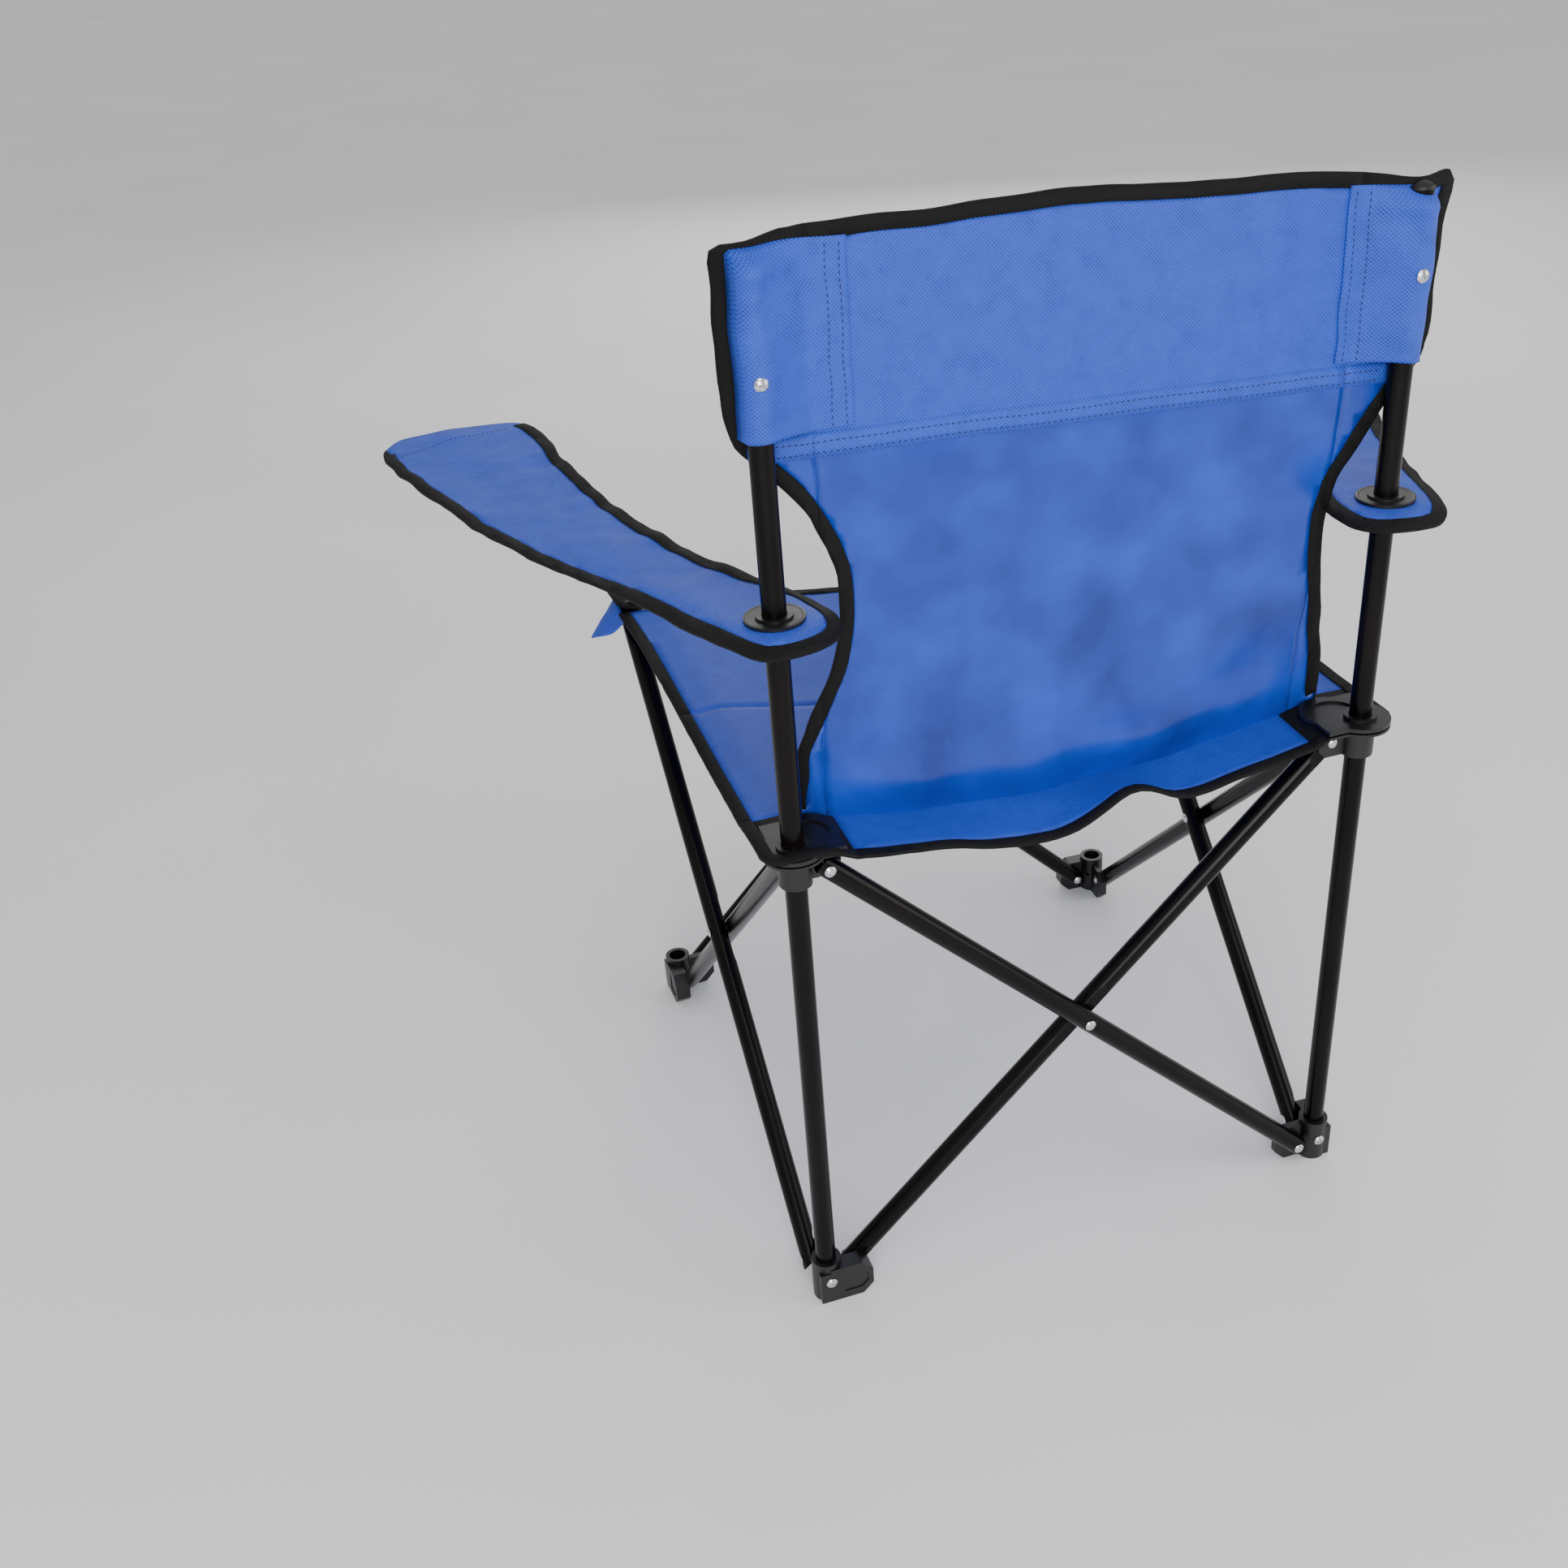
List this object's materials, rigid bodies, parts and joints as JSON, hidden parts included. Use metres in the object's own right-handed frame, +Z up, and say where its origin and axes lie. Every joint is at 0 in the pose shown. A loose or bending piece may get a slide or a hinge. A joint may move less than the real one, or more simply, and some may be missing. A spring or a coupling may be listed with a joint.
{
  "type": "folding camp chair",
  "caption": "Folding camp chair: tube frame of crossed pairs on moulded feet, two back posts with sliding brackets, sewn fabric seat, back and splayed armrests.",
  "frame": {"origin": "on the floor, under the middle of the open chair's bounding box", "axes": "+Z up; the chair faces -Y, so its back is at +Y; +X is the sitter's left"},
  "size_m": [0.8156, 0.5071, 0.816],
  "materials": {
    "tube": "gloss black powder-coated steel tube",
    "plastic": "satin black moulded polypropylene",
    "zinc": "bright zinc-plated steel",
    "cloth": "blue 600D woven polyester, coated on one side",
    "binding": "black ribbed polyester binding tape"
  },
  "bodies": {
    "rear_left": {"rear_left_foot": "plastic", "left_post": "tube", "left_post_plug": "plastic", "left_post_screw": "zinc", "left_back_screw": "zinc", "rear_left_foot_rivets": "zinc", "left_grommet_top": "plastic", "left_grommet_base": "plastic", "left_pole_pocket": "cloth", "back_panel": "cloth", "back_binding": "binding"},
    "rear_right": {"rear_right_foot": "plastic", "right_post": "tube", "right_post_plug": "plastic", "right_post_screw": "zinc", "right_back_screw": "zinc", "rear_right_foot_rivets": "zinc", "right_grommet_top": "plastic", "right_grommet_base": "plastic", "right_pole_pocket": "cloth"},
    "rear_cross_inner": {"rear_cross_tube_inner": "tube", "rear_cross_rivet": "zinc"},
    "rear_cross_outer": {"rear_cross_tube_outer": "tube"},
    "rear_left_bracket": {"rear_left_bracket": "plastic", "rear_left_cap": "plastic", "rear_left_bracket_rivets": "zinc"},
    "rear_right_bracket": {"rear_right_bracket": "plastic", "rear_right_cap": "plastic", "rear_right_bracket_rivets": "zinc"},
    "left_upper_side": {"left_upper_side_tube": "tube"},
    "left_lower_side": {"left_lower_side_tube": "tube", "left_side_rivet": "zinc"},
    "right_upper_side": {"right_upper_side_tube": "tube"},
    "right_lower_side": {"right_lower_side_tube": "tube", "right_side_rivet": "zinc"},
    "front_left": {"front_left_foot": "plastic", "front_left_foot_rivets": "zinc"},
    "front_right": {"front_right_foot": "plastic", "front_right_foot_rivets": "zinc"},
    "front_left_hub": {"front_left_hub": "plastic", "front_left_cap": "plastic", "front_left_hub_rivets": "zinc"},
    "front_right_hub": {"front_right_hub": "plastic", "front_right_cap": "plastic", "front_right_hub_rivets": "zinc"},
    "front_cross_inner": {"front_cross_tube_inner": "tube", "left_arm_tip": "plastic", "front_cross_rivet": "zinc"},
    "front_cross_outer": {"front_cross_tube_outer": "tube", "right_arm_tip": "plastic"},
    "left_armrest": {"left_armrest": "cloth", "left_armrest_binding": "binding"},
    "right_armrest": {"right_armrest": "cloth", "right_armrest_binding": "binding"},
    "seat_rear": {"seat_rear": "cloth", "seat_rear_binding": "binding"},
    "seat_front": {"seat_front": "cloth", "seat_front_binding": "binding"}
  },
  "joints": [
    {"name": "fold", "type": "hinge", "parent": "rear_left", "child": "rear_cross_inner", "pos_m": [0.19861, 0.2313, 0.02], "axis": [0, 1, 0], "range_deg": [0, 36], "deforming": ["back_panel", "back_binding"]},
    {"name": "rear_cross", "type": "hinge", "parent": "rear_cross_inner", "child": "rear_cross_outer", "pos_m": [0, 0.2313, 0.21381], "axis": [0, 1, 0], "range_deg": [-72, 0]},
    {"name": "rear_right_foot_pivot", "type": "hinge", "parent": "rear_cross_outer", "child": "rear_right", "pos_m": [-0.19861, 0.2313, 0.02], "axis": [0, 1, 0], "range_deg": [0, 36]},
    {"name": "rear_right_bracket_pivot", "type": "hinge", "parent": "rear_cross_inner", "child": "rear_right_bracket", "pos_m": [-0.19861, 0.2313, 0.40762], "axis": [0, 1, 0], "range_deg": [-36, 0]},
    {"name": "rear_left_bracket_pivot", "type": "hinge", "parent": "rear_cross_outer", "child": "rear_left_bracket", "pos_m": [0.19861, 0.2313, 0.40762], "axis": [0, 1, 0], "range_deg": [0, 36]},
    {"name": "left_side_foot_pivot", "type": "hinge", "parent": "rear_left", "child": "left_upper_side", "pos_m": [0.22007, 0.2103, 0.02], "axis": [-0.9997, -0.0224, 0], "range_deg": [0, 36]},
    {"name": "left_side_cross", "type": "hinge", "parent": "left_upper_side", "child": "left_lower_side", "pos_m": [0.22452, 0.01175, 0.21381], "axis": [-0.9997, -0.0224, 0], "range_deg": [-72, 0]},
    {"name": "front_left_foot_pivot", "type": "hinge", "parent": "left_lower_side", "child": "front_left", "pos_m": [0.22896, -0.1868, 0.02], "axis": [-0.9997, -0.0224, 0], "range_deg": [0, 36]},
    {"name": "front_left_hub_pivot", "type": "hinge", "parent": "left_upper_side", "child": "front_left_hub", "pos_m": [0.22938, -0.20541, 0.42578], "axis": [-0.9997, -0.0224, 0], "range_deg": [-36, 0]},
    {"name": "right_side_foot_pivot", "type": "hinge", "parent": "rear_right", "child": "right_upper_side", "pos_m": [-0.22007, 0.2103, 0.02], "axis": [-0.9997, 0.0224, 0], "range_deg": [0, 36]},
    {"name": "right_side_cross", "type": "hinge", "parent": "right_upper_side", "child": "right_lower_side", "pos_m": [-0.22452, 0.01175, 0.21381], "axis": [-0.9997, 0.0224, 0], "range_deg": [-72, 0]},
    {"name": "front_right_foot_pivot", "type": "hinge", "parent": "right_lower_side", "child": "front_right", "pos_m": [-0.22896, -0.1868, 0.02], "axis": [-0.9997, 0.0224, 0], "range_deg": [0, 36]},
    {"name": "front_right_hub_pivot", "type": "hinge", "parent": "right_upper_side", "child": "front_right_hub", "pos_m": [-0.22938, -0.20541, 0.42578], "axis": [-0.9997, 0.0224, 0], "range_deg": [-36, 0]},
    {"name": "front_outer_foot_pivot", "type": "hinge", "parent": "front_left", "child": "front_cross_outer", "pos_m": [0.20749, -0.20878, 0.02], "axis": [-0.0447, 0.999, 0], "range_deg": [0, 36]},
    {"name": "front_inner_foot_pivot", "type": "hinge", "parent": "front_right", "child": "front_cross_inner", "pos_m": [-0.20749, -0.20878, 0.02], "axis": [-0.0447, -0.999, 0], "range_deg": [0, 36]},
    {"name": "left_armrest_tilt", "type": "hinge", "parent": "rear_left", "child": "left_armrest", "pos_m": [0.2196, 0.2313, 0.594], "axis": [-0.9646, -0.2639, 0], "range_deg": [0, 58], "deforming": ["left_armrest", "left_armrest_binding"]},
    {"name": "right_armrest_tilt", "type": "hinge", "parent": "rear_right", "child": "right_armrest", "pos_m": [-0.2196, 0.2313, 0.594], "axis": [-0.9646, 0.2639, 0], "range_deg": [0, 58], "deforming": ["right_armrest", "right_armrest_binding"]},
    {"name": "seat_rear_fold", "type": "hinge", "parent": "rear_left_bracket", "child": "seat_rear", "pos_m": [0, 0.2313, 0.42177], "axis": [1, 0, 0], "range_deg": [0, 63.94], "deforming": ["seat_rear", "seat_rear_binding"]},
    {"name": "seat_front_fold", "type": "hinge", "parent": "front_left_hub", "child": "seat_front", "pos_m": [0, -0.1914, 0.43993], "axis": [-1, 0, 0], "range_deg": [0, 86.49], "deforming": ["seat_front", "seat_front_binding"]}
  ],
  "couplings": [
    {"joint": "rear_cross", "follows": "fold", "ratio": -2},
    {"joint": "rear_right_foot_pivot", "follows": "fold", "ratio": 1},
    {"joint": "rear_right_bracket_pivot", "follows": "fold", "ratio": -1},
    {"joint": "rear_left_bracket_pivot", "follows": "fold", "ratio": 1},
    {"joint": "left_side_foot_pivot", "follows": "fold", "ratio": 1},
    {"joint": "left_side_cross", "follows": "fold", "ratio": -2},
    {"joint": "front_left_foot_pivot", "follows": "fold", "ratio": 1},
    {"joint": "front_left_hub_pivot", "follows": "fold", "ratio": -1},
    {"joint": "right_side_foot_pivot", "follows": "fold", "ratio": 1},
    {"joint": "right_side_cross", "follows": "fold", "ratio": -2},
    {"joint": "front_right_foot_pivot", "follows": "fold", "ratio": 1},
    {"joint": "front_right_hub_pivot", "follows": "fold", "ratio": -1},
    {"joint": "front_outer_foot_pivot", "follows": "fold", "ratio": 1},
    {"joint": "front_inner_foot_pivot", "follows": "fold", "ratio": 1},
    {"joint": "left_armrest_tilt", "follows": "fold", "ratio": 1.611},
    {"joint": "right_armrest_tilt", "follows": "fold", "ratio": 1.611},
    {"joint": "seat_rear_fold", "follows": "fold", "ratio": 1.7762},
    {"joint": "seat_front_fold", "follows": "fold", "ratio": 2.4026}
  ]
}
